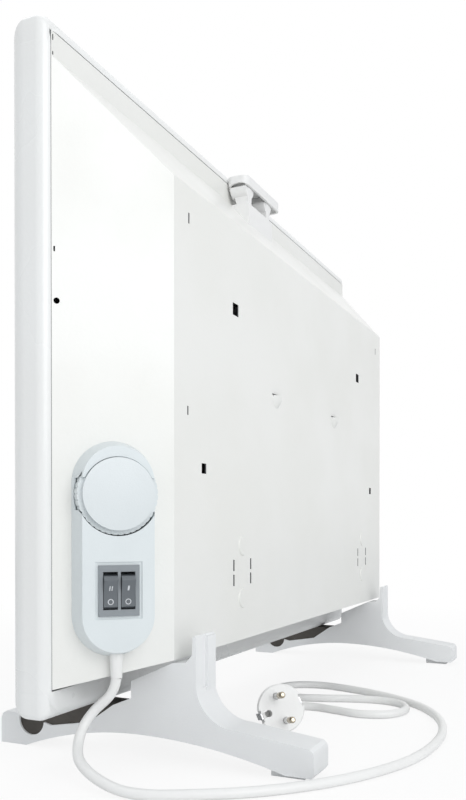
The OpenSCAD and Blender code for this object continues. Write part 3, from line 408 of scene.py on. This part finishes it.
def stroke(mesh, x, w, place):
    """Slanted bar of width w with its middle at x."""
    y, h, slant = stroke_y, stroke_h, stroke_slant
    low = [mesh.verts.new(place @ Vector(c)) for c in
           ((x - w / 2 - slant, y - h / 2, 0), (x + w / 2 - slant, y - h / 2, 0),
            (x + w / 2 + slant, y + h / 2, 0), (x - w / 2 + slant, y + h / 2, 0))]
    raise_mark(mesh, [mesh.faces.new(low)], place)


def ring_mark(mesh, place):
    """Ring with its middle on the rocker's middle line."""
    turns = [2 * math.pi * k / ring_steps for k in range(ring_steps)]
    rims = [[mesh.verts.new(place @ Vector((r * math.cos(a), ring_y + r * math.sin(a), 0))) for a in turns]
            for r in (ring_outer, ring_inner)]
    faces = []
    for k in range(ring_steps):
        m = (k + 1) % ring_steps
        faces.append(mesh.faces.new((rims[0][k], rims[0][m], rims[1][m], rims[1][k])))
    raise_mark(mesh, faces, place)


def raise_mark(mesh, faces, place):
    """Gives flat faces the thickness of a print."""
    up = (place.to_3x3() @ Vector((0, 0, 1))).normalized() * mark_t
    grown = bmesh.ops.extrude_face_region(mesh, geom=faces)
    bmesh.ops.translate(mesh, vec=up, verts=[v for v in grown["geom"] if isinstance(v, bmesh.types.BMVert)])


for side, body, strokes in ((1, "rocker_one", 1), (-1, "rocker_two", 2)):
    pivot = (switch_frame @ Matrix.Translation((side * rocker_side, 0, pivot_out))
             @ Matrix.Rotation(rocker_tilt, 4, "X"))
    upper = pivot @ Matrix.Translation((0, 0, face_out)) @ Matrix.Rotation(face_slope, 4, "X")
    lower = pivot @ Matrix.Translation((0, 0, face_out)) @ Matrix.Rotation(-face_slope, 4, "X")
    signs = bmesh.new()
    for k in range(strokes):
        stroke(signs, (k - (strokes - 1) / 2) * stroke_gap, stroke_w[strokes], upper)
    ring_mark(signs, lower)
    bmesh.ops.recalc_face_normals(signs, faces=signs.faces)
    mark_mesh = bpy.data.meshes.new(body + "_signs")
    signs.to_mesh(mark_mesh)
    signs.free()
    mark_mesh.materials.append(mark_white)
    mark = bpy.data.objects.new(body + "_signs", mark_mesh)
    bpy.context.scene.collection.objects.link(mark)
    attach(mark, body)

# Floor, lamps and surroundings
# A white floor that is lost in the white surroundings away from the heater, one large soft lamp behind the
# heater at the side of its controls, a weaker one over it, and an even pale sky.
reach, floor_drop = 6, 0.0002
floor_mesh = bpy.data.meshes.new("floor")
floor_mesh.from_pydata([(-reach, -reach, 0), (reach, -reach, 0), (reach, reach, 0), (-reach, reach, 0)],
                       [], [(0, 1, 2, 3)])
floor = bpy.data.objects.new("floor", floor_mesh)
floor.location.z = -floor_drop
bpy.context.scene.collection.objects.link(floor)
paper = bpy.data.materials.new("paper")
paper.use_nodes = True
n, link = paper.node_tree.nodes, paper.node_tree.links.new
paper_skin = n["Principled BSDF"]
paper_skin.inputs["Base Color"].default_value = (0.9, 0.9, 0.9, 1)
paper_skin.inputs["Roughness"].default_value = 0.9
paper_glow = n.new("ShaderNodeEmission")
paper_glow.inputs["Color"].default_value = (1, 1, 1, 1)
paper_mix = n.new("ShaderNodeMixShader")
paper_path = n.new("ShaderNodeLightPath")
paper_place = n.new("ShaderNodeTexCoord")
paper_reach = n.new("ShaderNodeVectorMath")
paper_reach.operation = "LENGTH"
link(paper_place.outputs["Object"], paper_reach.inputs[0])
paper_fade = n.new("ShaderNodeMapRange")
paper_fade.inputs["From Min"].default_value = 0.25
paper_fade.inputs["From Max"].default_value = 0.9
paper_fade.inputs["To Min"].default_value = 0.86
paper_fade.inputs["To Max"].default_value = 1.0
link(paper_reach.outputs["Value"], paper_fade.inputs["Value"])
paper_share = n.new("ShaderNodeMath")
paper_share.operation = "MULTIPLY"
link(paper_path.outputs["Is Camera Ray"], paper_share.inputs[0])
link(paper_fade.outputs["Result"], paper_share.inputs[1])
link(paper_share.outputs[0], paper_mix.inputs[0])
link(paper_skin.outputs[0], paper_mix.inputs[1])
link(paper_glow.outputs[0], paper_mix.inputs[2])
link(paper_mix.outputs[0], n["Material Output"].inputs["Surface"])
floor_mesh.materials.append(paper)

sky = bpy.data.worlds.new("sky")
bpy.context.scene.world = sky
sky.use_nodes = True
n, link = sky.node_tree.nodes, sky.node_tree.links.new
sky_plain = n["Background"]
sky_plain.inputs["Color"].default_value = (0.95, 0.975, 1, 1)
sky_plain.inputs["Strength"].default_value = 0.62
sky_white = n.new("ShaderNodeBackground")
sky_white.inputs["Color"].default_value = (1, 1, 1, 1)
sky_white.inputs["Strength"].default_value = 1.0
sky_mix = n.new("ShaderNodeMixShader")
sky_path = n.new("ShaderNodeLightPath")
sky_seen = n.new("ShaderNodeMath")
sky_seen.operation = "MAXIMUM"
link(sky_path.outputs["Is Camera Ray"], sky_seen.inputs[0])
link(sky_path.outputs["Is Glossy Ray"], sky_seen.inputs[1])
link(sky_seen.outputs[0], sky_mix.inputs[0])
link(sky_plain.outputs[0], sky_mix.inputs[1])
link(sky_white.outputs[0], sky_mix.inputs[2])
link(sky_mix.outputs[0], n["World Output"].inputs["Surface"])


def lamp(name, place, aim, side, watts):
    """Square soft lamp that looks at a point."""
    light = bpy.data.lights.new(name, "AREA")
    light.shape = "SQUARE"
    light.size = side
    light.energy = watts
    holder = bpy.data.objects.new(name, light)
    holder.location = place
    holder.rotation_euler = (Vector(aim) - Vector(place)).to_track_quat("-Z", "Y").to_euler()
    bpy.context.scene.collection.objects.link(holder)


heater_middle = (0, 0, 0.2)
lamp("window", (1.4, 1.75, 1.1), heater_middle, 1.5, 20)
lamp("top", (0.2, -0.4, 2.2), heater_middle, 1.6, 10)
bpy.context.scene.view_settings.view_transform = "Standard"
